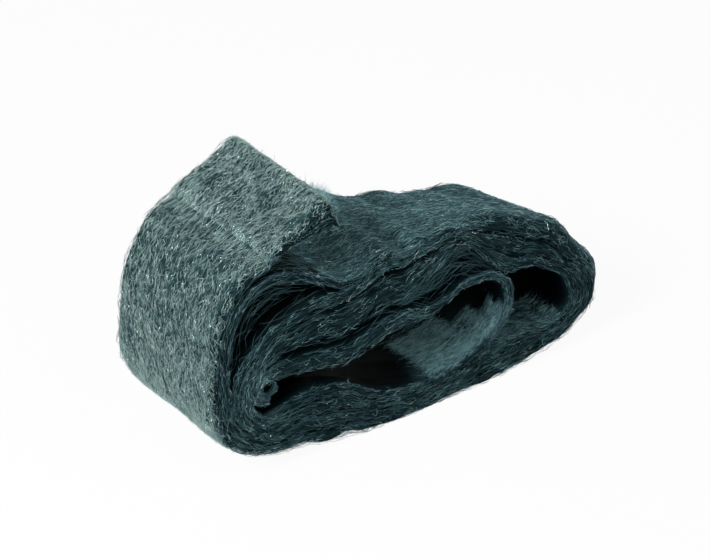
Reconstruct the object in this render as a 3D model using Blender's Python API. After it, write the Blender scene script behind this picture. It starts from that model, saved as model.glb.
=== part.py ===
# A hank of steel wool: one long band wound into a flattened roll, with its free end lifted.
# Metres, +Z up, X along the roll, Y across the band. The origin is under the roll's middle.
# The roll is drawn in its XZ section. Every place on it has a turn number, which grows by one
# each time round: whole numbers are the left end, then come the top, the right end and the bottom.
# The turns are stacked outwards from the hole in the middle, along spokes that leave its outline.

import bpy
import numpy as np

# The band
BAND_WIDTH = 0.080
BAND_THICKNESS = 0.0050
TURN_CLEARANCE = 0.0004
BAND_START = -0.114
BAND_END = 4.182

# The soft long edges and torn ends of the band
EDGE_SOFTNESS = 0.0060
EDGE_THINNING = 0.60
EDGE_WANDER = 0.0011
EDGE_WAVES_PER_TURN = 1.7
END_SOFTNESS = 0.008
END_THINNING = 0.40

# The small curl that the band starts from, at the left end of the hole
CURL_X = -0.084
CURL_Z = 0.0475
CURL_RADIUS = 0.0042
CURL_TOP = 0.100
CURL_BOTTOM = 0.886

# How far the roll's own weight flattens it on the table
REST_CRUSH = 0.0012

# Outline of the hole from the curl's top to its bottom: turn number, x, z, angle of the spoke in degrees
HOLE = (
    (CURL_TOP, CURL_X, CURL_Z + CURL_RADIUS, 90),
    (0.148, -0.061, 0.0485, 90),
    (0.195, -0.038, 0.0443, 90),
    (0.253, -0.010, 0.0520, 90),
    (0.295, 0.010, 0.0525, 90),
    (0.346, 0.035, 0.0610, 89),
    (0.369, 0.046, 0.0605, 84),
    (0.390, 0.053, 0.0570, 66),
    (0.412, 0.057, 0.0530, 38),
    (0.440, 0.0585, 0.0480, 10),
    (0.475, 0.0585, 0.0430, -8),
    (0.510, 0.0575, 0.0390, -22),
    (0.550, 0.0550, 0.0350, -42),
    (0.585, 0.0500, 0.0300, -60),
    (0.615, 0.0430, 0.0255, -76),
    (0.650, 0.0300, 0.0205, -90),
    (0.700, 0.0060, 0.0170, -90),
    (0.745, -0.016, 0.0205, -90),
    (0.799, -0.042, 0.0350, -90),
    (0.830, -0.057, 0.0385, -90),
    (CURL_BOTTOM, CURL_X, CURL_Z - CURL_RADIUS, -90),
)

# How far the first turn stays below the hole's outline as it comes back under the curl
UNDER_CURL = ((0.830, 0.0), (0.861, 0.0060), (CURL_BOTTOM, 0.0105), (0.943, 0.0075))

# Thickness of every turn round the roll, as a share of the band's thickness
SQUEEZE = (
    (0.000, 1.08), (0.060, 1.12), (0.100, 1.15), (0.200, 1.03), (0.315, 0.72), (0.360, 0.95), (0.430, 1.00),
    (0.510, 0.97), (0.600, 1.06), (0.690, 0.82), (0.740, 0.92), (0.785, 1.39), (0.822, 1.62), (0.860, 1.29),
    (0.895, 0.99), (1.000, 1.08),
)

# Where single turns are fluffed up: turn number, added thickness
CORE_LOFT = ((0.080, 0.0), (0.140, 0.0042), (0.205, 0.0062), (0.260, 0.0055), (0.325, 0.0))
SECOND_LOFT = ((1.050, 0.0), (1.110, 0.0036), (1.165, 0.0088), (1.220, 0.0120), (1.262, 0.0130), (1.295, 0.0085),
               (1.325, 0.0014), (1.350, 0.0))
THIRD_LOFT = ((2.010, 0.0), (2.060, 0.0020), (2.150, 0.0030), (2.220, 0.0))
FREE_END_LOFT = ((4.120, 0.0), (4.145, 0.0030), (4.182, 0.0140))
LOFTS = (CORE_LOFT, SECOND_LOFT, THIRD_LOFT, FREE_END_LOFT)

# Turns after the first fan out over and under the right hand void, over it mostly at the front
OUTER_TURNS = (1, 2, 3)
FAN_OVER = ((0.340, 0.0), (0.382, 0.0034), (0.408, 0.0034), (0.440, 0.0))
FAN_UNDER = ((0.510, 0.0), (0.550, 0.0029), (0.590, 0.0024), (0.630, 0.0006), (0.650, 0.0))
FAN_OVER_BACK = 0.25

# The right shoulder bellies out between the band's edges
SHOULDER_BELLY = ((0.350, 0.0), (0.430, 0.0016), (0.480, 0.0012), (0.560, 0.0))

# The roof of the hole sinks towards the back
BACK_SAG = ((0.215, 0.0), (0.290, 0.0015), (0.340, 0.0065), (0.375, 0.0105), (0.400, 0.0060), (0.430, 0.0))

# Voids between a turn and the one inside it: turn number, depth
CORE_SLIT = ((1.060, 0.0), (1.110, 0.0026), (1.170, 0.0052), (1.230, 0.0050), (1.275, 0.0024), (1.320, 0.0))
ARCH_POCKET = ((1.258, 0.0), (1.290, 0.0125), (1.318, 0.0225), (1.345, 0.0160), (1.372, 0.0030), (1.392, 0.0))
RIGHT_VOID = ((1.398, 0.0), (1.430, 0.0160), (1.465, 0.0340), (1.495, 0.0390), (1.520, 0.0325), (1.550, 0.0130),
              (1.585, 0.0030), (1.612, 0.0))
TOP_SLIT = ((2.120, 0.0), (2.180, 0.0014), (2.240, 0.0024), (2.290, 0.0016), (2.330, 0.0))
CRESCENT = ((3.010, 0.0), (3.040, 0.0040), (3.068, 0.0150), (3.092, 0.0230), (3.118, 0.0195), (3.148, 0.0100),
            (3.172, 0.0030), (3.195, 0.0))
FREE_END_LIFT = ((4.050, 0.0), (4.100, 0.0045), (4.128, 0.0095), (4.150, 0.0155), (4.182, 0.0240))
THROUGH_VOIDS = (CORE_SLIT, RIGHT_VOID, TOP_SLIT, CRESCENT, FREE_END_LIFT)

# The pocket under the arch is deepest at the front and runs out to this share of its depth at the back
ARCH_POCKET_BACK = 0.40

# Fineness of the mesh
STATIONS_PER_TURN = 64


def smooth(stops, at):
    """A curve through the stops in cubic pieces whose slopes are limited, so that it never overshoots."""
    places, values = np.array(stops, dtype=float).T
    step = np.diff(places)
    rise = np.diff(values) / step
    slope = np.zeros(len(values))
    same_way = rise[:-1] * rise[1:] > 0.0
    before = rise[:-1][same_way]
    after = rise[1:][same_way]
    slope[1:-1][same_way] = 2.0 * before * after / (before + after)
    piece = np.clip(np.searchsorted(places, at) - 1, 0, len(step) - 1)
    u = np.clip((at - places[piece]) / step[piece], 0.0, 1.0)
    start = values[piece] + slope[piece] * step[piece] * u * (1.0 - u) ** 2
    finish = -slope[piece + 1] * step[piece] * u ** 2 * (1.0 - u)
    return start + finish + (values[piece + 1] - values[piece]) * u ** 2 * (3.0 - 2.0 * u)


def spokes(turn):
    """Foot of the spoke on the hole's outline and the spoke's direction, at each turn number."""
    share = turn % 1.0
    foot_x, foot_z, angle = [smooth([(stop[0], stop[k]) for stop in HOLE], share) for k in (1, 2, 3)]
    rising = share < CURL_TOP
    falling = share > CURL_BOTTOM
    angle = np.where(rising, 180.0 - 90.0 * share / CURL_TOP, angle)
    angle = np.where(falling, -90.0 - 90.0 * (share - CURL_BOTTOM) / (1.0 - CURL_BOTTOM), angle)
    direction = np.stack((np.cos(np.radians(angle)), np.sin(np.radians(angle))), axis=-1)
    on_curl = np.array((CURL_X, CURL_Z)) + CURL_RADIUS * direction
    foot = np.stack((foot_x, foot_z), axis=-1)
    return np.where((rising | falling)[:, None], on_curl, foot), direction


def thickness(turn, across):
    """Thickness of the band along the spokes, for each turn number and place across, thinned at both torn ends."""
    even = BAND_THICKNESS * smooth(SQUEEZE, turn % 1.0)
    for stops in LOFTS:
        even = even + smooth(stops, turn)
    depth = np.outer(even, np.ones(len(across)))
    for number in OUTER_TURNS:
        depth += np.outer(smooth(FAN_UNDER, turn - number), np.ones(len(across)))
        depth += np.outer(smooth(FAN_OVER, turn - number), 1.0 - (1.0 - FAN_OVER_BACK) * to_back(across))
        depth += np.outer(smooth(SHOULDER_BELLY, turn - number), 1.0 - across ** 2)
    to_end = np.minimum(turn - BAND_START, BAND_END - turn)
    shortfall = np.clip(1.0 - to_end / END_SOFTNESS, 0.0, 1.0)
    return depth * (1.0 - END_THINNING * shortfall ** 2)[:, None]


def to_back(across):
    """Share of the way from the front edge to the back edge, where across runs from -1 to +1."""
    return (across + 1.0) / 2.0


def void_depth(turn, across):
    """Space between a turn and the one inside it, at one turn number and each place across."""
    through = sum(smooth(stops, turn) for stops in THROUGH_VOIDS)
    return through + smooth(ARCH_POCKET, turn) * (1.0 - (1.0 - ARCH_POCKET_BACK) * to_back(across))


def first_turn_start(turn, across, over_curl):
    """Height of the first turn's inner face over the hole's outline, up to the start of the second turn."""
    under = smooth(UNDER_CURL + ((1.0, over_curl + TURN_CLEARANCE),), turn)
    return under - smooth(BACK_SAG, turn) * to_back(across)


def stations():
    """Turn numbers of the cross sections, with two more near each torn end."""
    count = int(np.ceil((BAND_END - BAND_START) * STATIONS_PER_TURN))
    first = np.ceil(BAND_START * STATIONS_PER_TURN) + 1
    even = (first + np.arange(count)) / STATIONS_PER_TURN
    even = even[even < BAND_END - END_SOFTNESS]
    softened = np.array((0.0, 0.4, 1.0)) * END_SOFTNESS
    return np.concatenate((BAND_START + softened[:2], even, BAND_END - softened[::-1]))


def stack_turns(turns, across):
    """Heights of the inner and outer face along the spokes, each turn on top of the one inside it."""
    inner = np.zeros((len(turns), len(across)))
    outer = np.zeros_like(inner)
    depth = thickness(turns, across)
    over_curl = thickness(np.array([0.0]), across).max()
    for row, turn in enumerate(turns):
        if turn < 1.0:
            inner[row] = first_turn_start(turn, across, over_curl)
        else:
            after = np.searchsorted(turns, turn - 1.0)
            part = (turn - 1.0 - turns[after - 1]) / (turns[after] - turns[after - 1])
            below = outer[after - 1] * (1.0 - part) + outer[after] * part
            inner[row] = below + TURN_CLEARANCE + void_depth(turn, across)
        outer[row] = inner[row] + depth[row]
    return inner, outer


def band_points():
    """Positions of both faces: for each station, points across the width on the inner and outer face."""
    half = BAND_WIDTH / 2.0
    soft = EDGE_SOFTNESS / half
    across = np.array((-1.0, -1.0 + 0.27 * soft, -1.0 + soft, 0.0, 1.0 - soft, 1.0 - 0.27 * soft, 1.0))
    turns = stations()
    inner, outer = stack_turns(turns, across)
    to_edge = np.clip((1.0 - np.abs(across)) / soft, 0.0, 1.0)
    thinned = EDGE_THINNING * (1.0 - to_edge) ** 2 * (outer - inner) / 2.0
    foot, direction = spokes(turns)
    wander = EDGE_WANDER * np.sin(2.0 * np.pi * EDGE_WAVES_PER_TURN * turns)
    width = across * half + np.outer(wander, np.abs(across) > 1.0 - 0.5 * soft)
    faces = []
    for height in (inner + thinned, outer - thinned):
        x = foot[:, :1] + direction[:, :1] * height
        z = foot[:, 1:] + direction[:, 1:] * height
        faces.append(np.stack((x, width, z), axis=-1))
    return np.stack(faces)


def rest_on_table(points):
    """Lower the roll until it is crushed by REST_CRUSH, with its lowest part flat at zero."""
    points[..., 2] -= points[..., 2].min() + REST_CRUSH
    points[..., 2] = np.maximum(points[..., 2], 0.0)
    middle = (points[..., 0].max() + points[..., 0].min()) / 2.0
    points[..., 0] -= middle
    return points


def band_mesh():
    """Closed triangle mesh of the band. Both faces of a turn are cut along the same diagonals."""
    points = rest_on_table(band_points())
    rows, columns = points.shape[1:3]
    number = np.arange(2 * rows * columns).reshape(2, rows, columns)
    ring = np.concatenate((number[0], number[1][:, ::-1]), axis=1)
    around = np.concatenate((ring, ring[:, :1]), axis=1)
    a, b = around[:-1, :-1], around[:-1, 1:]
    c, d = around[1:, 1:], around[1:, :-1]
    on_outer_face = np.arange(2 * columns) >= columns
    first = np.where(on_outer_face[None, :, None], np.stack((a, b, d), -1), np.stack((a, b, c), -1))
    second = np.where(on_outer_face[None, :, None], np.stack((b, c, d), -1), np.stack((a, c, d), -1))
    triangles = np.concatenate((first.reshape(-1, 3), second.reshape(-1, 3))).tolist()
    for row, turned in ((0, True), (rows - 1, False)):
        low, high = number[0, row], number[1, row]
        for k in range(columns - 1):
            quad = [low[k], low[k + 1], high[k + 1], high[k]]
            quad = [int(corner) for corner in (quad[::-1] if turned else quad)]
            triangles += [[quad[0], quad[1], quad[2]], [quad[0], quad[2], quad[3]]]
    mesh = bpy.data.meshes.new("steel_wool_band")
    mesh.from_pydata(points.reshape(-1, 3).tolist(), [], triangles)
    mesh.update()
    return mesh


def wool_material():
    """Dull grey steel with a slight blue green cast."""
    material = bpy.data.materials.new("steel_wool")
    material.use_nodes = True
    shader = material.node_tree.nodes["Principled BSDF"]
    shader.inputs["Base Color"].default_value = (0.130, 0.185, 0.182, 1.0)
    shader.inputs["Metallic"].default_value = 0.6
    shader.inputs["Roughness"].default_value = 0.55
    return material


def main():
    for old in list(bpy.data.objects):
        bpy.data.objects.remove(old, do_unlink=True)
    mesh = band_mesh()
    mesh.materials.append(wool_material())
    mesh.shade_smooth()
    band = bpy.data.objects.new("steel_wool_band", mesh)
    bpy.context.scene.collection.objects.link(band)


main()
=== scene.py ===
"""A hank of steel wool, dressed for rendering: the matted band, and the loose fibres on it."""
import math

import bpy
import numpy as np
from mathutils import Matrix, Vector


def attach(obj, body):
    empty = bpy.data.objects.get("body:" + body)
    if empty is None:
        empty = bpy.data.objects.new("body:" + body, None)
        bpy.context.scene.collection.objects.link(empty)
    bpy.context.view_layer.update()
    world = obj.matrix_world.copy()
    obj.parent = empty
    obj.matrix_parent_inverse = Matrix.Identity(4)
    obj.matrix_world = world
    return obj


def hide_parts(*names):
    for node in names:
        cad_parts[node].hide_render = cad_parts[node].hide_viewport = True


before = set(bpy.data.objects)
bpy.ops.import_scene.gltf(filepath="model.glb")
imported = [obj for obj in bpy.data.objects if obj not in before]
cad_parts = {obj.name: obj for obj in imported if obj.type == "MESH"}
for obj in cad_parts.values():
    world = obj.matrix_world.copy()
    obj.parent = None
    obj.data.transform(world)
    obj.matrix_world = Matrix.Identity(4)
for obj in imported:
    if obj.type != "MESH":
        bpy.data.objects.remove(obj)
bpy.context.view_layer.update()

# The wound band, in the same sizes as the solid. Metres.
BAND_WIDTH = 0.080
BAND_THICKNESS = 0.0050
TURN_CLEARANCE = 0.0004
BAND_START = -0.114
BAND_END = 4.182
END_TURN_SHARE = 0.016
END_THINNING = 0.55
EDGE_SOFTNESS = 0.0060
CURL_X = -0.084
CURL_Z = 0.0475
CURL_RADIUS = 0.0042
CURL_TOP = 0.100
CURL_BOTTOM = 0.886

# How the drawn section lies in the frame: its middle in X, and how far it sinks to rest on the floor
MIDDLE_X = 0.0013
SINK = 0.00045

# Outline of the hole in the roll: turn number, x, z, angle of the spoke in degrees
HOLE = (
    (CURL_TOP, CURL_X, CURL_Z + CURL_RADIUS, 90),
    (0.148, -0.061, 0.0485, 90),
    (0.195, -0.038, 0.0443, 90),
    (0.253, -0.010, 0.0520, 90),
    (0.295, 0.010, 0.0525, 90),
    (0.346, 0.035, 0.0610, 89),
    (0.369, 0.046, 0.0605, 84),
    (0.390, 0.053, 0.0570, 66),
    (0.412, 0.057, 0.0530, 38),
    (0.440, 0.0585, 0.0480, 10),
    (0.475, 0.0585, 0.0430, -8),
    (0.510, 0.0575, 0.0390, -22),
    (0.550, 0.0550, 0.0350, -42),
    (0.585, 0.0500, 0.0300, -60),
    (0.615, 0.0430, 0.0255, -76),
    (0.650, 0.0300, 0.0205, -90),
    (0.700, 0.0060, 0.0170, -90),
    (0.745, -0.016, 0.0205, -90),
    (0.799, -0.042, 0.0350, -90),
    (0.830, -0.057, 0.0385, -90),
    (CURL_BOTTOM, CURL_X, CURL_Z - CURL_RADIUS, -90),
)

# Turn number and value: where the turns lie close, are fluffed up, or stand apart
UNDER_CURL = ((0.830, 0.0), (0.861, 0.0060), (CURL_BOTTOM, 0.0105), (0.943, 0.0075), (1.0, 0.0058))
SQUEEZE = (
    (0.000, 1.08), (0.060, 1.12), (0.100, 1.15), (0.200, 1.03), (0.315, 0.72), (0.360, 0.95), (0.430, 1.00),
    (0.510, 0.97), (0.600, 1.06), (0.690, 0.82), (0.740, 0.92), (0.785, 1.39), (0.822, 1.62), (0.860, 1.29),
    (0.895, 0.99), (1.000, 1.08),
)
LOFTS = (
    ((0.080, 0.0), (0.140, 0.0042), (0.205, 0.0062), (0.260, 0.0055), (0.325, 0.0)),
    ((1.050, 0.0), (1.110, 0.0036), (1.165, 0.0088), (1.220, 0.0120), (1.262, 0.0130), (1.295, 0.0085),
     (1.325, 0.0014), (1.350, 0.0)),
    ((2.010, 0.0), (2.060, 0.0020), (2.150, 0.0030), (2.220, 0.0)),
    ((4.120, 0.0), (4.145, 0.0030), (4.182, 0.0140)),
)
OUTER_TURNS = (1, 2, 3)
FAN_OVER = ((0.340, 0.0), (0.382, 0.0034), (0.408, 0.0034), (0.440, 0.0))
FAN_UNDER = ((0.510, 0.0), (0.550, 0.0029), (0.590, 0.0024), (0.630, 0.0006), (0.650, 0.0))
FAN_OVER_BACK = 0.25
SHOULDER_BULGE = (
    (0.340, 0.0), (0.380, 0.0012), (0.402, 0.0019), (0.425, 0.0027), (0.447, 0.0032),
    (0.468, 0.0029), (0.490, 0.0019), (0.520, 0.0008), (0.560, 0.0),
)
BULGE_ACROSS = (
    (-1.0, 0.25), (-0.93, 0.66), (-0.80, 1.0), (-0.50, 0.85), (0.0, 0.68), (0.50, 0.45), (1.0, 0.15),
)
BACK_SAG = ((0.215, 0.0), (0.290, 0.0015), (0.340, 0.0065), (0.375, 0.0105), (0.400, 0.0060), (0.430, 0.0))
ARCH_POCKET = (
    (1.258, 0.0), (1.290, 0.0125), (1.318, 0.0225), (1.345, 0.0160), (1.372, 0.0030), (1.392, 0.0),
)
ARCH_POCKET_BACK = 0.40
FAR_SIDE_LIFT = ((4.095, 0.0), (4.129, 0.0020), (4.147, 0.0038), (4.166, 0.0026), (4.182, 0.0012))
FAR_SIDE = ((-1.0, 0.0), (-0.40, 0.0), (0.20, 0.8), (0.60, 1.0), (1.0, 0.9))
CRESCENT = (
    (3.010, 0.0), (3.040, 0.0040), (3.068, 0.0150), (3.092, 0.0230), (3.118, 0.0195), (3.148, 0.0100),
    (3.172, 0.0030), (3.195, 0.0),
)
THROUGH_VOIDS = (
    ((1.060, 0.0), (1.110, 0.0026), (1.170, 0.0052), (1.230, 0.0050), (1.275, 0.0024), (1.320, 0.0)),
    ((1.398, 0.0), (1.430, 0.0160), (1.465, 0.0340), (1.495, 0.0390), (1.520, 0.0325), (1.550, 0.0130),
     (1.585, 0.0030), (1.612, 0.0)),
    ((2.120, 0.0), (2.180, 0.0014), (2.240, 0.0024), (2.290, 0.0016), (2.330, 0.0)),
    CRESCENT,
    ((4.055, 0.0), (4.100, 0.0028), (4.128, 0.0100), (4.150, 0.0158), (4.182, 0.0240)),
)

# The last turn number at which another turn still lies on the band's outer face
COVERED_TO = 3.17

# Tufts on the open face: height, waves (count per turn, count across, phase), and the turns with them
TUFT_HEIGHT = 0.0007
TUFT_WAVES = ((23.0, 0.5, 0.0), (27.0, -1.1, 1.3), (12.0, 1.7, 2.6))
TUFTED = ((3.170, 0.0), (3.240, 1.0), (3.560, 1.0), (3.640, 0.0), (3.900, 0.0), (3.960, 1.0), (4.190, 1.0))

# How far in from the edge light reaches: covered faces, and the floors of the hole and the right void
DARK_REACH = 0.0036
FLOOR_REACH = 0.036
LIT_FLOORS = (
    ((0.500, 0.0), (0.630, 1.0), (0.675, 1.0), (0.710, 0.0)),
    ((1.500, 0.0), (1.545, 1.0), (1.610, 1.0), (1.640, 0.0)),
)

# Ridges of combed fibre over the band's thickness, on its cut edges
RIDGES = 4.0

# Height above the floor below which heights ease off, and share of a turn over which a torn end closes
NEAR_FLOOR = 0.0012
END_CLOSING = 0.004

# Lamps: name, place, size and power in watts
LAMPS = (
    ("key", (-1.05, -0.30, 0.85), 0.5, 18.0),
    ("fill", (0.30, -1.10, 1.00), 1.2, 2.5),
)

# Camera, worked out from the photograph's outline: place, way back from its target, and lens in millimetres
CAMERA_PLACE = (-0.6414, -0.8465, 0.6790)
CAMERA_BACK = (-0.5181, -0.6901, 0.5053)
CAMERA_LENS = 127.3

# Fineness of the band's surface, and of one short and one curled fibre
STATIONS_PER_TURN = 180
FACE_COLUMNS = 24
EDGE_COLUMNS = 15
SHORT_POINTS = 4
CURLED_POINTS = 6


def smooth(stops, at):
    """A curve through the stops in cubic pieces whose slopes are limited, so that it never overshoots."""
    places, values = np.array(stops, dtype=float).T
    step = np.diff(places)
    rise = np.diff(values) / step
    slope = np.zeros(len(values))
    same_way = rise[:-1] * rise[1:] > 0.0
    before = rise[:-1][same_way]
    after = rise[1:][same_way]
    slope[1:-1][same_way] = 2.0 * before * after / (before + after)
    piece = np.clip(np.searchsorted(places, at) - 1, 0, len(step) - 1)
    u = np.clip((at - places[piece]) / step[piece], 0.0, 1.0)
    start = values[piece] + slope[piece] * step[piece] * u * (1.0 - u) ** 2
    finish = -slope[piece + 1] * step[piece] * u ** 2 * (1.0 - u)
    return start + finish + (values[piece + 1] - values[piece]) * u ** 2 * (3.0 - 2.0 * u)


def spokes(turn):
    """Foot on the hole's outline and direction of the spoke at a turn number, fanned out round the curl."""
    share = turn % 1.0
    foot_x, foot_z, angle = [smooth([(stop[0], stop[k]) for stop in HOLE], share) for k in (1, 2, 3)]
    rising = share < CURL_TOP
    falling = share > CURL_BOTTOM
    angle = np.where(rising, 180.0 - 90.0 * share / CURL_TOP, angle)
    angle = np.where(falling, -90.0 - 90.0 * (share - CURL_BOTTOM) / (1.0 - CURL_BOTTOM), angle)
    direction = np.stack((np.cos(np.radians(angle)), np.sin(np.radians(angle))), axis=-1)
    on_curl = np.array((CURL_X, CURL_Z)) + CURL_RADIUS * direction
    foot = np.stack((foot_x, foot_z), axis=-1)
    return np.where((rising | falling)[..., None], on_curl, foot), direction


def thickness(turn, across):
    """The squeezed thickness plus lofts, fans and the shoulder's bulge, rounded off near the torn ends."""
    share_back = (across + 1.0) / 2.0
    depth = BAND_THICKNESS * smooth(SQUEEZE, turn % 1.0) + 0.0 * across
    for stops in LOFTS:
        depth = depth + smooth(stops, turn)
    for number in OUTER_TURNS:
        depth = depth + smooth(FAN_UNDER, turn - number)
        depth = depth + smooth(FAN_OVER, turn - number) * (1.0 - (1.0 - FAN_OVER_BACK) * share_back)
        depth = depth + smooth(SHOULDER_BULGE, turn - number) * smooth(BULGE_ACROSS, across)
    to_end = np.minimum(turn - BAND_START, BAND_END - turn)
    shortfall = np.clip(1.0 - to_end / END_TURN_SHARE, 0.0, 1.0)
    return depth * (1.0 - END_THINNING * (1.0 - np.sqrt(1.0 - shortfall ** 2)))


def tufts(turn, across):
    """Height of the tufts on the outer face: the mean of crossing waves, only where no turn covers it."""
    waves = sum(np.sin(2.0 * math.pi * (around * turn + wide * across / 2.0) + phase)
                for around, wide, phase in TUFT_WAVES)
    return TUFT_HEIGHT * waves / len(TUFT_WAVES) * smooth(TUFTED, turn)


def void_depth(turn, across):
    """Space between a turn and the one inside it."""
    pocket = smooth(ARCH_POCKET, turn) * (1.0 - (1.0 - ARCH_POCKET_BACK) * (across + 1.0) / 2.0)
    raised = smooth(FAR_SIDE_LIFT, turn) * smooth(FAR_SIDE, across)
    return pocket + raised + sum(smooth(stops, turn) for stops in THROUGH_VOIDS)


def layer_heights(turn, across):
    """Heights of both faces: the first turn's, plus thickness, clearance and void of each turn inside."""
    inside = np.maximum(np.floor(turn), 0.0)
    share = turn - inside
    inner = smooth(UNDER_CURL, share) - smooth(BACK_SAG, share) * (across + 1.0) / 2.0
    for number in range(int(inside.max())):
        step = thickness(share + number, across) + TURN_CLEARANCE + void_depth(share + number + 1.0, across)
        inner = inner + np.where(number < inside, step, 0.0)
    return inner, inner + thickness(turn, across)


def in_frame(turn, across, height):
    """Position in the frame: the spoke's foot plus its direction times a height, never below the floor."""
    foot, direction = spokes(turn)
    x = foot[..., 0] + direction[..., 0] * height - MIDDLE_X
    z = foot[..., 1] + direction[..., 1] * height - SINK
    eased = NEAR_FLOOR * np.exp((np.maximum(z, -0.01) - NEAR_FLOOR) / NEAR_FLOOR)
    z = np.where(z < NEAR_FLOOR, eased, z)
    return np.stack((x, across * BAND_WIDTH / 2.0 + 0.0 * x, z), axis=-1)


def pace(turn):
    """Metres of band per turn, from the distance between two near places on its outer face."""
    nearby = 0.002
    least = 0.04
    middle = np.zeros_like(turn)
    two = [in_frame(t, middle, layer_heights(t, middle)[1]) for t in (turn, turn + nearby)]
    return np.maximum(np.linalg.norm(two[1] - two[0], axis=-1) / nearby, least)


def lumps(along, around, size, stretch, seed):
    """Smooth noise from -1 to 1: plane waves of random heading and phase, drawn out along by stretch."""
    waves = 14
    rng = np.random.default_rng(seed)
    total = np.zeros(np.broadcast(along, around).shape)
    for heading, phase, scale in rng.random((waves, 3)):
        a = 2.0 * math.pi * heading
        wave = (math.cos(a) * along / stretch + math.sin(a) * around) / (size * (0.6 + 0.9 * scale))
        total += np.sin(2.0 * math.pi * (wave + phase))
    return total / math.sqrt(waves / 2.0) / 2.0


def distance(turn):
    """Metres of band from its start to a turn number, from a table of the pace added up."""
    table = np.linspace(BAND_START, BAND_END + 0.02, 1200)
    return np.interp(turn, table, np.cumsum(pace(table)) * (table[1] - table[0]))


def combed_ridge(along, share):
    """Ridges on the cut edge, from -1 to 1: a sine over the thickness that wanders along the band."""
    wander = 0.8 * lumps(along, 0.0 * along, 0.05, 1.0, 7)
    return np.sin(2.0 * math.pi * (share * RIDGES + wander))


def new_piece(name, points, faces, finish):
    """An object at the origin, from an array of points and one of faces with equal numbers of corners."""
    mesh = bpy.data.meshes.new(name)
    mesh.vertices.add(len(points))
    mesh.vertices.foreach_set("co", np.ascontiguousarray(points, dtype=np.float32).ravel())
    mesh.loops.add(faces.size)
    mesh.loops.foreach_set("vertex_index", np.ascontiguousarray(faces, dtype=np.int32).ravel())
    mesh.polygons.add(len(faces))
    mesh.polygons.foreach_set("loop_start", np.arange(len(faces), dtype=np.int32) * faces.shape[1])
    mesh.update(calc_edges=True)
    mesh.shade_smooth()
    mesh.materials.append(finish)
    piece = bpy.data.objects.new(name, mesh)
    bpy.context.scene.collection.objects.link(piece)
    return piece


# Shader maths

class Signal:
    """An output socket of a node. Python's operators on it add Math nodes."""

    def __init__(self, net, socket):
        self.net = net
        self.socket = socket

    def maths(self, operation, first, second=0.0):
        return self.net.add("ShaderNodeMath", {"operation": operation}, {0: first, 1: second})

    def __add__(self, other):
        return self.maths("ADD", self, other)

    def __radd__(self, other):
        return self.maths("ADD", other, self)

    def __sub__(self, other):
        return self.maths("SUBTRACT", self, other)

    def __rsub__(self, other):
        return self.maths("SUBTRACT", other, self)

    def __mul__(self, other):
        return self.maths("MULTIPLY", self, other)

    def __rmul__(self, other):
        return self.maths("MULTIPLY", other, self)

    def __abs__(self):
        return self.maths("ABSOLUTE", self)

    def larger(self, other):
        return self.maths("MAXIMUM", self, other)


class Net:
    """The nodes of one material or world."""

    def __init__(self, owner):
        owner.use_nodes = True
        self.tree = owner.node_tree

    def add(self, kind, settings=None, sockets=None, output=0):
        """A node of a kind, its settings first and then its sockets' values or links. Returns one output."""
        node = self.tree.nodes.new(kind)
        for name, setting in (settings or {}).items():
            if name == "stops":
                while len(node.color_ramp.elements) < len(setting):
                    node.color_ramp.elements.new(1.0)
                for element, (place, colour) in zip(node.color_ramp.elements, setting):
                    element.position = place
                    element.color = (*colour, 1.0)
            else:
                setattr(node, name, setting)
        self.join(node, sockets or {})
        return Signal(self, node.outputs[output])

    def join(self, node, sockets):
        for key, value in sockets.items():
            if isinstance(value, Signal):
                self.tree.links.new(value.socket, node.inputs[key])
            else:
                node.inputs[key].default_value = value


def combed(net, place, period, stretch, heading, seed):
    """Fibre-like streaks up to 1: ridges of a noise squeezed across a heading and drawn out along it."""
    turned = net.add("ShaderNodeMapping", {}, {
        "Vector": place,
        "Location": (seed * 0.37, seed * 0.61, seed * 1.7),
        "Rotation": (0.0, 0.0, math.radians(heading)),
    })
    drawn = net.add("ShaderNodeMapping", {}, {
        "Vector": turned,
        "Scale": (1.0 / (period * stretch), 1.0 / period, 1.0),
    })
    noise = net.add("ShaderNodeTexNoise", {}, {
        "Vector": drawn, "Scale": 1.0, "Detail": 2.0, "Roughness": 0.55, "Distortion": 0.35,
    })
    return 1.0 - abs(noise - 0.5) * 5.0


def matted_wool():
    """Grey steel with a blue green cast: fine streaks of three headings over patches, scaled by painted
    shade deep between the turns and on the cut edges, and by painted light on the floors of the hole and the
    right void.
    """
    material = bpy.data.materials.new("matted_steel_wool")
    net = Net(material)
    shader = net.tree.nodes["Principled BSDF"]
    place = net.add("ShaderNodeUVMap", {"uv_map": "along_band"})
    exposed = net.add("ShaderNodeAttribute", {"attribute_name": "exposed"}, output=2)
    streaks = combed(net, place, 0.0008, 10.0, 4.0, 1)
    streaks = streaks.larger(combed(net, place, 0.0007, 7.0, -26.0, 2))
    streaks = streaks.larger(combed(net, place, 0.0007, 7.0, 31.0, 3) * 0.9)
    patches = net.add("ShaderNodeTexNoise", {}, {
        "Vector": net.add("ShaderNodeMapping", {}, {"Vector": place, "Scale": (60.0, 130.0, 1.0)}),
        "Scale": 1.0, "Detail": 3.0, "Roughness": 0.6,
    })
    # The tone takes the band's painted light and shade: dark deep between the turns, lit further in on the
    # floors of the hole and the right void.
    tone = streaks.larger(0.0) * (0.50 + patches * 0.7) * exposed
    colour = net.add("ShaderNodeValToRGB", {"stops": (
        (0.0, (0.0005, 0.0014, 0.0018)),
        (0.25, (0.0045, 0.012, 0.015)),
        (0.55, (0.017, 0.042, 0.048)),
        (0.80, (0.063, 0.125, 0.132)),
        (1.0, (0.220, 0.350, 0.350)),
    )}, {"Fac": tone})
    bump = net.add("ShaderNodeBump", {}, {"Height": streaks, "Strength": 0.8, "Distance": 0.0008})
    net.join(shader, {
        "Base Color": colour,
        "Roughness": 0.80 - 0.2 * patches,
        "Metallic": 0.50,
        "Specular IOR Level": 0.0,
        "Normal": bump,
    })
    return material


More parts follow.
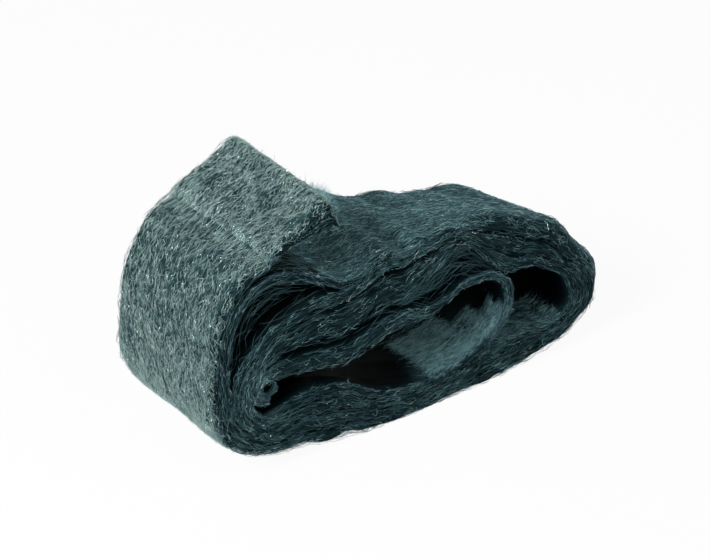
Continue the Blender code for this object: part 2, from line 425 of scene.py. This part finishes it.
def fibre_steel(name, colour, metallic, roughness):
    """Bare steel of single fibres."""
    material = bpy.data.materials.new(name)
    net = Net(material)
    shader = net.tree.nodes["Principled BSDF"]
    net.join(shader, {
        "Base Color": (*colour, 1.0),
        "Metallic": metallic,
        "Roughness": roughness,
        "Specular IOR Level": 0.0,
    })
    return material


# The matted band

def edge_share(across):
    """Share of the thickness at which the outer face lies: 1 on the flat, down a round edge to a half."""
    soft = EDGE_SOFTNESS / (BAND_WIDTH / 2.0)
    to_edge = np.clip((np.abs(across) - 1.0 + soft) / soft, 0.0, 1.0)
    return 0.5 + 0.5 * np.sqrt(1.0 - to_edge ** 2)


def band_section():
    """Across (-1 to 1) and share of the thickness (0 to 1), a ring of two flats and two round edges."""
    soft = EDGE_SOFTNESS / (BAND_WIDTH / 2.0)
    flat = np.sin(np.linspace(-1.0, 1.0, FACE_COLUMNS) * math.pi / 2.0) * (1.0 - soft)
    angle = np.linspace(-1.0, 1.0, EDGE_COLUMNS + 2)[1:-1] * math.pi / 2.0
    bulge = 1.0 - soft + soft * np.cos(angle)
    share = 0.5 + 0.5 * np.sin(angle)
    across = np.concatenate((flat, bulge, flat[::-1], -bulge))
    depth = np.concatenate((np.zeros(FACE_COLUMNS), share, np.ones(FACE_COLUMNS), share[::-1]))
    return across, depth


def wool_band():
    """The wound band: its section carried along the turns, lumpy, with combed ridges on both edges."""
    turn = np.linspace(BAND_START, BAND_END, int((BAND_END - BAND_START) * STATIONS_PER_TURN))[:, None]
    across, share = band_section()
    ring = np.arange(len(across))
    along = distance(turn[:, 0])
    inner, outer = layer_heights(turn, across[None, :])
    height = inner + (outer - inner) * share
    middle = (inner + outer) / 2.0
    ends = np.minimum(turn - BAND_START, BAND_END - turn)
    closing = np.sqrt(np.clip(ends / END_CLOSING, 0.0, 1.0))
    height = middle + (height - middle) * (0.25 + 0.75 * closing)
    flat_across = across * BAND_WIDTH / 2.0
    outward = np.where(share > 0.5, 1.0, -1.0) * np.clip((1.0 - np.abs(across)) * 8.0, 0.0, 1.0)
    rough = 0.0005 * lumps(along[:, None], flat_across, 0.020, 1.6, 5)
    rough = rough + 0.0003 * lumps(along[:, None], flat_across, 0.006, 2.4, 6)
    height = height + outward * rough + tufts(turn, across[None, :]) * share
    near_edge = np.clip((np.abs(across) - 0.86) / 0.14, 0.0, 1.0)
    ridge = combed_ridge(along[:, None], share)
    ragged = 0.0004 * ridge + 0.0010 * lumps(along[:, None], share * 0.006, 0.012, 2.0, 8)
    widened = across + np.sign(across) * near_edge * ragged / (BAND_WIDTH / 2.0)
    points = in_frame(turn, widened, height)
    rows, columns = points.shape[:2]
    number = np.arange(rows * columns).reshape(rows, columns)
    beside = np.roll(number, -1, axis=1)
    faces = np.stack((number[:-1], beside[:-1], beside[1:], number[1:]), axis=-1).reshape(-1, 4)
    caps = []
    for row, order in ((0, (3, 2, 1, 0)), (rows - 1, (0, 1, 2, 3))):
        left, right = ring[:columns // 2], ring[::-1][:columns // 2]
        start = EDGE_COLUMNS // 2
        turned = np.roll(number[row], start)
        low, high = turned[left], turned[right]
        quads = np.stack((low[:-1], low[1:], high[1:], high[:-1]), axis=-1)
        caps.append(quads[:, list(order)])
    faces = np.concatenate([faces] + caps)
    band = new_piece("wool_band", points.reshape(-1, 3), faces, matted_wool())
    # Painted light and shade, kept on the points. Covered faces darken with the distance in from the edge,
    # less so on the floors of the hole and the right void, which get painted light further in. The cut edges
    # are darker, partly for their open fibre ends and partly as painted shade, most between the combed
    # ridges. The band's start deep in the curl is painted darker, and the open outer face is a little darker
    # all over.
    covered = (turn < COVERED_TO) | (share < 0.5)
    depth_in = (1.0 - np.abs(across)) * BAND_WIDTH / 2.0
    floors = sum(smooth(stops, turn) for stops in LIT_FLOORS) * (share < 0.5)
    reach = DARK_REACH + (FLOOR_REACH - DARK_REACH) * floors
    on_edge = np.clip((np.abs(across) - 0.88) / 0.08, 0.0, 1.0)
    exposed = np.where(covered, np.exp(-(depth_in / reach) ** 1.5), 1.0)
    exposed = exposed * (1.0 - on_edge * (0.45 - 0.20 * ridge))
    exposed = exposed * np.clip((turn - BAND_START) / 0.12, 0.15, 1.0) * np.where(covered, 1.0, 0.85)
    band.data.attributes.new("exposed", "FLOAT", "POINT").data.foreach_set(
        "value", exposed.astype(np.float32).ravel())
    section = np.stack((across * BAND_WIDTH / 2.0, share * BAND_THICKNESS), axis=-1)
    way = np.concatenate(((0.0,), np.cumsum(np.linalg.norm(np.diff(section, axis=0), axis=1))))
    coordinates = np.stack(np.broadcast_arrays(along[:, None], way[None, :]), axis=-1).reshape(-1, 2)
    corners = np.zeros(len(band.data.loops), dtype=np.int32)
    band.data.loops.foreach_get("vertex_index", corners)
    uv = band.data.uv_layers.new(name="along_band")
    uv.data.foreach_set("uv", coordinates[corners].astype(np.float32).ravel())
    return band


# Fibres

def fibre_mesh(paths, radius):
    """Tubes along the paths, three-sided, with a ring at each inner point and a tip at each end."""
    count, points = paths.shape[:2]
    heading = np.gradient(paths, axis=1)
    heading /= np.linalg.norm(heading, axis=-1, keepdims=True) + 1e-12
    lead = np.where(np.abs(heading[..., 1:2]) > 0.8, (1.0, 0.0, 0.0), (0.0, 1.0, 0.0))
    side = np.cross(heading, lead)
    side /= np.linalg.norm(side, axis=-1, keepdims=True) + 1e-12
    other = np.cross(heading, side)
    rings = []
    for corner in range(3):
        a = 2.0 * math.pi * corner / 3.0
        rings.append(paths + radius[:, None, None] * (math.cos(a) * side + math.sin(a) * other))
    body = np.stack(rings, axis=2)[:, 1:-1].reshape(count, -1, 3)
    vertices = np.concatenate((paths[:, :1], body, paths[:, -1:]), axis=1)
    size = vertices.shape[1]
    triangles = []
    for corner in range(3):
        following = (corner + 1) % 3
        triangles.append((0, 1 + following, 1 + corner))
        for ring in range(points - 3):
            a, b = 1 + 3 * ring + corner, 1 + 3 * ring + following
            triangles += [(a, b, b + 3), (a, b + 3, a + 3)]
        last = 1 + 3 * (points - 3)
        triangles.append((last + corner, last + following, size - 1))
    faces = np.array(triangles)[None] + (np.arange(count) * size)[:, None, None]
    return vertices.reshape(-1, 3), faces.reshape(-1, 3)


def strewn(rng, count, turns, across, length, lean, bend, waver):
    """Where fibres run: metres along the band and sideways from their middles, in arcs with a waver."""
    t = rng.uniform(turns[0], turns[1], count)
    place = rng.uniform(across[0], across[1], count)
    long = rng.uniform(length[0], length[1], count)
    angle = rng.normal(0.0, lean, count)
    s = np.linspace(-0.5, 0.5, SHORT_POINTS)[None, :]
    arc = rng.normal(0.0, bend, (count, 1)) * (4.0 * s ** 2 - 0.3)
    wave = waver * np.sin(2.0 * math.pi * (rng.uniform(0.6, 1.5, (count, 1)) * s + rng.random((count, 1))))
    along = long[:, None] * (s * np.cos(angle)[:, None] - arc * np.sin(angle)[:, None])
    sideways = long[:, None] * (s * np.sin(angle)[:, None] + arc * np.cos(angle)[:, None]) + wave
    return t, place, s, along, sideways


def face_fibres(seed, count, turns, outward, length, lean, bend, rise, across=(-0.97, 0.97)):
    """Fibres on the outer (outward 1) or inner (0) face: ends tucked in, middles up to rise off it."""
    rng = np.random.default_rng(seed)
    t, place, s, along, sideways = strewn(rng, count, turns, across, length, lean, bend, 0.0004)
    turn = np.clip(t[:, None] + along / pace(t)[:, None], BAND_START, BAND_END + 0.002)
    across_at = np.clip(place[:, None] + sideways / (BAND_WIDTH / 2.0), -1.02, 1.02)
    inner, outer = layer_heights(turn, across_at)
    rounded = (outer - inner) * (1.0 - edge_share(across_at))
    lift = rise * rng.random((count, 1)) ** 2 * (1.0 - (2.0 * s) ** 2)
    lift = lift + rng.normal(0.0001, 0.00025, turn.shape)
    height = outer - rounded + tufts(turn, across_at) + lift if outward else inner + rounded - lift
    return in_frame(turn, across_at, height)


def edge_fibres(seed, count, turns, side, length, lean, bend, reach, on_ridges=False):
    """Fibres combed along the cut edge on one side (-1 front, 1 back), strewn evenly or on its ridges."""
    rng = np.random.default_rng(seed)
    t, place, s, along, sideways = strewn(rng, count, turns, (0.02, 0.98), length, lean, bend, 0.0002)
    turn = np.clip(t[:, None] + along / pace(t)[:, None], BAND_START, BAND_END + 0.006)
    if on_ridges:
        there = distance(t)
        crest = np.round(place * RIDGES - 0.25) + 0.25 - 0.8 * lumps(there, 0.0 * there, 0.05, 1.0, 7)
        place = np.clip((crest + rng.normal(0.0, 0.13, count)) / RIDGES, 0.02, 0.98)
    out = rng.uniform(-0.0016, reach, (count, 1)) + 0.0004 * np.sin(6.0 * s + 6.0 * rng.random((count, 1)))
    across_at = side * (1.0 + out / (BAND_WIDTH / 2.0))
    inner, outer = layer_heights(turn, np.full_like(turn, 0.98 * side))
    height = inner + (outer - inner) * place[:, None] + sideways
    return in_frame(turn, across_at, height)


def void_strands(seed, count, turns, length, across):
    """Strands across the void under a turn, a little aslant, between its inner face and the floor."""
    rng = np.random.default_rng(seed)
    t, place, s, along, sideways = strewn(rng, count, turns, across, length, 0.12, 0.10, 0.0006)
    turn = t[:, None] + along / pace(t)[:, None]
    across_at = np.clip(place[:, None] + 0.3 * sideways / (BAND_WIDTH / 2.0), -1.0, 1.0)
    inner, outer = layer_heights(turn, across_at)
    depth = rng.random((count, 1)) ** 1.5 + rng.normal(0.0, 0.25, (count, 1)) * s
    height = inner - np.clip(depth, 0.0, 1.0) * void_depth(turn, across_at) + sideways
    return in_frame(turn, across_at, height)


def curl_fibres(seed, count, across):
    """Fibres that go on round inside the curl that the band starts from, in arcs about its middle."""
    rng = np.random.default_rng(seed)
    s = np.linspace(-0.5, 0.5, SHORT_POINTS)[None, :]
    angle = rng.uniform(0.0, 2.0 * math.pi, (count, 1)) + s * rng.uniform(0.8, 1.6, (count, 1))
    radius = CURL_RADIUS * (1.05 - 0.35 * rng.random((count, 1)) ** 2 + 0.10 * s)
    place = rng.uniform(across[0], across[1], (count, 1))
    x = CURL_X + radius * np.cos(angle) - MIDDLE_X
    z = CURL_Z + radius * np.sin(angle) - SINK
    return np.stack((x, place * BAND_WIDTH / 2.0 + 0.0006 * np.sin(7.0 * s + 9.0 * place), z), axis=-1)


def stray_fibres(seed, count, turns, side, length, stand):
    """Curled fibres that stand off the edge: arcs in a plane of their own, out from a place on the edge."""
    rng = np.random.default_rng(seed)
    t = rng.uniform(turns[0], turns[1], count)
    across_at = side * np.ones(count)
    inner, outer = layer_heights(t, across_at)
    root = in_frame(t, across_at * 0.985, inner + (outer - inner) * rng.random(count))
    arc = np.linspace(0.0, 1.0, CURLED_POINTS)[None, :, None] * rng.uniform(0.6, 2.6, (count, 1, 1))
    first, second = rng.normal(size=(2, count, 1, 3))
    first[..., 1] = side * np.abs(first[..., 1]) * stand
    second[..., 1] = second[..., 1] * stand
    first /= np.linalg.norm(first, axis=-1, keepdims=True)
    second /= np.linalg.norm(second, axis=-1, keepdims=True)
    bow = rng.uniform(length[0], length[1], (count, 1, 1)) / 3.0
    paths = root[:, None] + bow * (np.sin(arc) * first + (1.0 - np.cos(arc)) * second)
    paths[..., 2] = np.maximum(paths[..., 2], 0.0004)
    return paths


def torn_fibres(seed, count, length, across=(-0.98, 0.98), rising=0.0):
    """Fibres out of the torn end, from within its thickness: level, drooping or rising, and splayed."""
    rng = np.random.default_rng(seed)
    across_at = rng.uniform(across[0], across[1], (count, 1))
    share = rng.random((count, 1))
    s = np.linspace(0.0, 1.0, SHORT_POINTS)[None, :]
    long = rng.uniform(length[0], length[1], (count, 1))
    turn = BAND_END - 0.006 + long * s / pace(np.array([BAND_END - 0.01]))[0]
    splay = rng.normal(0.0, 0.5, (count, 1)) * long * s ** 2
    inner, outer = layer_heights(np.minimum(turn, BAND_END - 0.002), across_at)
    up = rng.normal(rising, 0.35, (count, 1)) * long * s ** 2
    height = inner + (outer - inner) * (0.06 + 0.88 * share) + up
    return in_frame(turn, across_at + splay / (BAND_WIDTH / 2.0), height)


def fibres(name, groups, radius, finish, seed):
    """One piece from groups of fibre paths, each fibre with its own radius."""
    paths = np.concatenate(groups)
    rng = np.random.default_rng(seed)
    radii = rng.uniform(radius[0], radius[1], len(paths))
    points, faces = fibre_mesh(paths, radii)
    piece = new_piece(name, points, faces, finish)
    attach(piece, "root")
    return piece


band = wool_band()
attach(band, "root")
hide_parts("steel_wool_band")

PAINTED_GLINT = fibre_steel("painted_glint_fibre_steel", (0.760, 0.920, 0.880), 0.90, 0.22)
PALE = fibre_steel("pale_fibre_steel", (0.420, 0.595, 0.570), 0.80, 0.28)
COOL = fibre_steel("cool_fibre_steel", (0.270, 0.490, 0.520), 0.70, 0.32)
GREY = fibre_steel("grey_fibre_steel", (0.080, 0.168, 0.190), 0.50, 0.40)
SHADE_DARK = fibre_steel("shade_dark_fibre_steel", (0.013, 0.034, 0.043), 0.40, 0.50)

WHOLE = (BAND_START + 0.004, BAND_END)
END_TURNS = (3.80, BAND_END)
TOP_TURNS = (COVERED_TO, 3.60)
UNDER_TURNS = (3.55, 3.85)
UNDER_FREE_END = (3.03, 3.20)
FREE_END = (4.04, BAND_END)
fibres("end_fibres_pale", [
    face_fibres(10, 9000, END_TURNS, 1, (0.0025, 0.0090), 0.38, 0.15, 0.0008, (-1.0, 1.0)),
    face_fibres(11, 6500, END_TURNS, 1, (0.0020, 0.0065), 0.90, 0.26, 0.0010, (-1.0, 1.0)),
], (0.00006, 0.00010), PALE, 1)
# Strands of near-white steel, lighter than the other fibres, that stand for the glints of single strands: a
# painted highlight on top of the lamps' own reflections.
fibres("glints", [
    face_fibres(61, 2300, END_TURNS, 1, (0.0020, 0.0070), 0.60, 0.22, 0.0012, (-1.0, 1.0)),
    face_fibres(62, 500, TOP_TURNS, 1, (0.0020, 0.0070), 0.40, 0.20, 0.0008, (-1.0, 1.0)),
    edge_fibres(63, 450, WHOLE, -1, (0.002, 0.006), 0.40, 0.30, 0.0008, True),
    edge_fibres(64, 450, WHOLE, 1, (0.002, 0.006), 0.40, 0.30, 0.0008, True),
], (0.00005, 0.00008), PAINTED_GLINT, 11)
fibres("face_fibres_pale", [
    face_fibres(12, 6600, TOP_TURNS, 1, (0.0025, 0.009), 0.28, 0.14, 0.0005, (-1.0, 1.0)),
    face_fibres(13, 2000, UNDER_TURNS, 1, (0.002, 0.007), 0.60, 0.20, 0.0004),
    # Pale fibres on the floors of the hole and the right void, only as far in from the front as light
    # reaches: painted light, like the painted lit floors of the band.
    face_fibres(39, 350, (0.50, 0.58), 0, (0.003, 0.010), 0.25, 0.12, 0.0006, (-1.0, -0.70)),
    face_fibres(40, 800, (0.57, 0.63), 0, (0.003, 0.010), 0.30, 0.14, 0.0006, (-1.0, -0.45)),
    face_fibres(41, 2300, (0.62, 0.685), 0, (0.003, 0.010), 0.35, 0.16, 0.0006, (-1.0, -0.10)),
    face_fibres(42, 900, (1.51, 1.63), 0, (0.003, 0.010), 0.35, 0.16, 0.0006, (-1.0, -0.35)),
], (0.00006, 0.00010), COOL, 7)
fibres("face_fibres_grey", [
    face_fibres(14, 1600, END_TURNS, 1, (0.003, 0.009), 0.50, 0.22, 0.0006),
    face_fibres(15, 4200, TOP_TURNS, 1, (0.006, 0.020), 0.15, 0.06, 0.0005),
    face_fibres(16, 1600, UNDER_TURNS, 1, (0.005, 0.014), 0.50, 0.14, 0.0004),
    face_fibres(17, 900, UNDER_FREE_END, 1, (0.006, 0.018), 0.25, 0.10, 0.0006),
], (0.00008, 0.00014), GREY, 2)
fibres("edge_fibres_grey", [
    edge_fibres(21, 6400, WHOLE, -1, (0.004, 0.015), 0.10, 0.08, 0.0005),
    edge_fibres(22, 6400, WHOLE, 1, (0.004, 0.015), 0.10, 0.08, 0.0005),
], (0.00006, 0.00011), GREY, 3)
# Near-black fibres on the cut edges: a painted shade for the darker side faces and the gaps between their
# fibres.
fibres("edge_fibres_shade_dark", [
    edge_fibres(23, 2200, WHOLE, -1, (0.004, 0.012), 0.16, 0.12, 0.0004),
    edge_fibres(24, 2200, WHOLE, 1, (0.004, 0.012), 0.16, 0.12, 0.0004),
], (0.00010, 0.00016), SHADE_DARK, 4)
fibres("edge_fibres_pale", [
    edge_fibres(25, 2100, WHOLE, -1, (0.002, 0.008), 0.26, 0.20, 0.0007),
    edge_fibres(26, 2100, WHOLE, 1, (0.002, 0.008), 0.26, 0.20, 0.0007),
    torn_fibres(32, 600, (0.002, 0.006)),
], (0.00005, 0.00009), COOL, 5)
fibres("tuft_fibres", [
    torn_fibres(33, 300, (0.002, 0.0055), (-1.00, -0.25), 0.9),
    torn_fibres(34, 400, (0.003, 0.0058), (-0.90, -0.42), 1.1),
    torn_fibres(35, 350, (0.003, 0.0058), (-0.82, -0.52), 1.2),
], (0.00010, 0.00016), COOL, 10)
fibres("stray_fibres", [
    stray_fibres(30, 420, WHOLE, -1, (0.002, 0.007), 0.50),
    stray_fibres(31, 420, WHOLE, 1, (0.002, 0.007), 0.50),
], (0.00005, 0.00009), COOL, 8)
fibres("hollow_fibres", [
    face_fibres(50, 400, (0.49, 0.58), 0, (0.004, 0.012), 0.25, 0.12, 0.0008, (-1.0, -0.65)),
    face_fibres(51, 500, (0.57, 0.63), 0, (0.004, 0.012), 0.30, 0.14, 0.0008, (-1.0, -0.40)),
    face_fibres(53, 700, (0.62, 0.69), 0, (0.004, 0.012), 0.30, 0.14, 0.0008, (-1.0, 0.0)),
    face_fibres(52, 1000, (1.51, 1.63), 0, (0.004, 0.012), 0.30, 0.14, 0.0008, (-1.0, -0.35)),
    face_fibres(43, 1100, FREE_END, 0, (0.005, 0.014), 0.35, 0.14, 0.0010),
    torn_fibres(44, 2000, (0.002, 0.007)),
], (0.00007, 0.00012), GREY, 6)
fibres("void_strands", [
    void_strands(45, 130, (3.03, 3.17), (0.008, 0.026), (-1.0, -0.70)),
    void_strands(46, 260, (1.27, 1.375), (0.008, 0.022), (-1.0, -0.75)),
    void_strands(47, 70, (1.08, 1.28), (0.008, 0.022), (-1.0, -0.70)),
    curl_fibres(48, 260, (-1.0, -0.90)),
], (0.00005, 0.00009), GREY, 9)


# Floor, lamps and camera

def studio():
    """A pale floor and backdrop that show white and keep part of the shadow, and the lamps."""
    bpy.ops.mesh.primitive_plane_add(size=8.0)
    floor = bpy.context.object
    floor.name = "floor"
    material = bpy.data.materials.new("pale_floor")
    net = Net(material)
    seen = net.add("ShaderNodeLightPath", output=0).larger(net.add("ShaderNodeLightPath", output=3))
    lit = net.add("ShaderNodeBsdfDiffuse", {}, {"Color": (0.90, 0.90, 0.90, 1.0)})
    white = net.add("ShaderNodeEmission", {}, {"Color": (1.0, 1.0, 1.0, 1.0), "Strength": 1.0})
    mixed = net.add("ShaderNodeMixShader", {}, {"Fac": 0.94 * seen, 1: lit, 2: white})
    net.join(net.tree.nodes["Material Output"], {"Surface": mixed})
    floor.data.materials.append(material)

    world = bpy.data.worlds.new("studio")
    bpy.context.scene.world = world
    sky = Net(world)
    seen = sky.add("ShaderNodeLightPath", output=0).larger(sky.add("ShaderNodeLightPath", output=3))
    sky.join(sky.tree.nodes["Background"], {"Color": (1.0, 1.0, 1.0, 1.0), "Strength": 0.25 + 0.75 * seen})

    for name, place, size, power in LAMPS:
        lamp = bpy.data.lights.new(name, "AREA")
        lamp.size = size
        lamp.energy = power
        holder = bpy.data.objects.new(name, lamp)
        holder.location = place
        towards = Vector((0.0, 0.0, 0.05)) - Vector(place)
        holder.rotation_euler = towards.to_track_quat("-Z", "Y").to_euler()
        bpy.context.scene.collection.objects.link(holder)


def photo_camera():
    """A camera at the photograph's angle."""
    camera = bpy.data.cameras.new("camera")
    camera.sensor_width = 36.0
    camera.lens = CAMERA_LENS
    back = Vector(CAMERA_BACK).normalized()
    right = Vector((0.0, 0.0, 1.0)).cross(back).normalized()
    up = back.cross(right)
    holder = bpy.data.objects.new("camera", camera)
    turn = Matrix((right, up, back)).transposed().to_4x4()
    holder.matrix_world = Matrix.Translation(CAMERA_PLACE) @ turn
    bpy.context.scene.collection.objects.link(holder)
    bpy.context.scene.camera = holder


studio()
photo_camera()
bpy.context.scene.view_settings.view_transform = "Standard"
